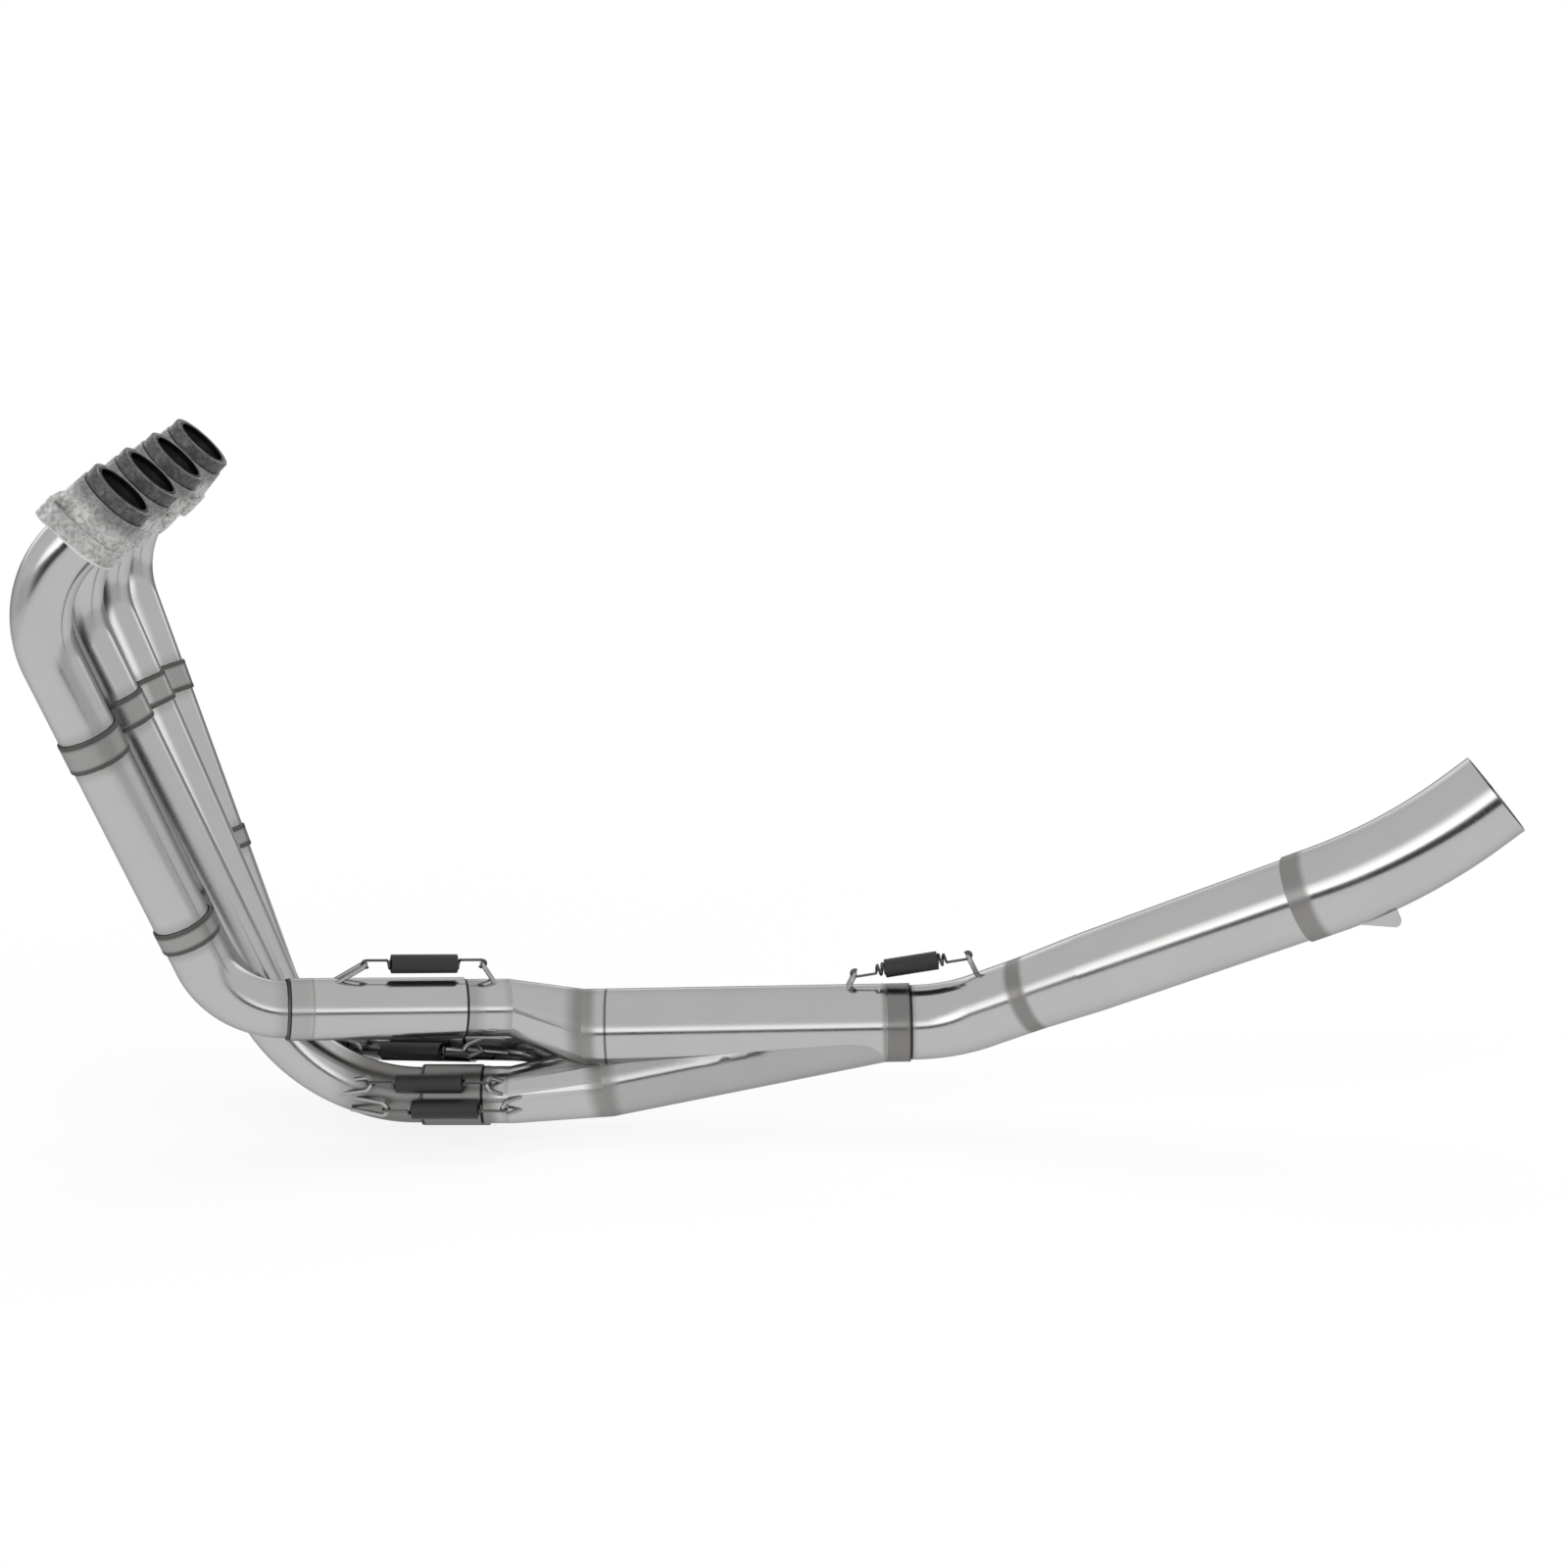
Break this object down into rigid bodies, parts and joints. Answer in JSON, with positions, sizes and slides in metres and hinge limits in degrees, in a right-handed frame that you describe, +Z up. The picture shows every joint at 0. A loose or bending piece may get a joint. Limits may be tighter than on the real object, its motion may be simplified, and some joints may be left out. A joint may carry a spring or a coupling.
{
  "type": "motorcycle exhaust header",
  "caption": "Four-into-two-into-one exhaust header for a motorcycle: flanged primary tubes, sprung slip joints, a collector and a link pipe to the silencer.",
  "frame": {"origin": "centre of the end face of port 1, the nearest of the four, at the mouth of its tube", "axes": "+X to the rear of the machine, towards the outlet; +Y along the port row, from port 1 to port 4; +Z up"},
  "size_m": [0.9649, 0.303, 0.4878],
  "materials": {
    "tube_steel": "satin brushed stainless tube",
    "heat_tinted_steel": "satin stainless, greyed by welding heat",
    "lug_steel": "dull bent bar, welded",
    "spring_wire": "dark spring wire",
    "seat_ring": "dark turned ring",
    "cast_flange": "rough cast aluminium, mottled",
    "rubber_cover": "black rubber sleeve"
  },
  "bodies": {
    "root": {"flange_1": "cast_flange", "flange_2": "cast_flange", "flange_3": "cast_flange", "flange_4": "cast_flange", "port_ring_1": "seat_ring", "port_ring_2": "seat_ring", "port_ring_3": "seat_ring", "port_ring_4": "seat_ring", "upper_tube_1": "tube_steel", "upper_tube_2": "tube_steel", "upper_tube_3": "tube_steel", "upper_tube_4": "tube_steel", "upper_sleeve_1": "heat_tinted_steel", "upper_sleeve_2": "heat_tinted_steel", "upper_sleeve_3": "heat_tinted_steel", "upper_sleeve_4": "heat_tinted_steel", "middle_tube_1": "tube_steel", "middle_tube_4": "tube_steel", "lower_sleeve_1": "heat_tinted_steel", "lower_sleeve_4": "heat_tinted_steel", "lower_tube_1": "tube_steel", "lower_tube_2": "tube_steel", "lower_tube_3": "tube_steel", "lower_tube_4": "tube_steel", "slip_socket_1": "tube_steel", "slip_socket_2": "tube_steel", "slip_socket_3": "tube_steel", "slip_socket_4": "tube_steel", "inlet_tube_1": "tube_steel", "inlet_tube_2": "tube_steel", "inlet_tube_3": "tube_steel", "inlet_tube_4": "tube_steel", "upper_merge": "heat_tinted_steel", "lower_merge": "heat_tinted_steel", "upper_secondary": "tube_steel", "lower_secondary": "tube_steel", "stop_ring": "heat_tinted_steel", "link_pipe_front": "tube_steel", "link_pipe": "tube_steel", "tail_pipe": "tube_steel", "tail_tab": "lug_steel", "spring_1": "spring_wire", "spring_2": "spring_wire", "spring_3": "spring_wire", "spring_4": "spring_wire", "spring_5": "spring_wire", "spring_6": "spring_wire", "rubber_cover_1": "rubber_cover", "rubber_cover_2": "rubber_cover", "rubber_cover_3": "rubber_cover", "rubber_cover_4": "rubber_cover", "rubber_cover_5": "rubber_cover", "rubber_cover_6": "rubber_cover", "spring_lugs_1": "lug_steel", "spring_lugs_2": "lug_steel", "spring_lugs_3": "lug_steel", "spring_lugs_4": "lug_steel", "spring_lugs_5": "lug_steel", "spring_lugs_6": "lug_steel"}
  },
  "joints": []
}
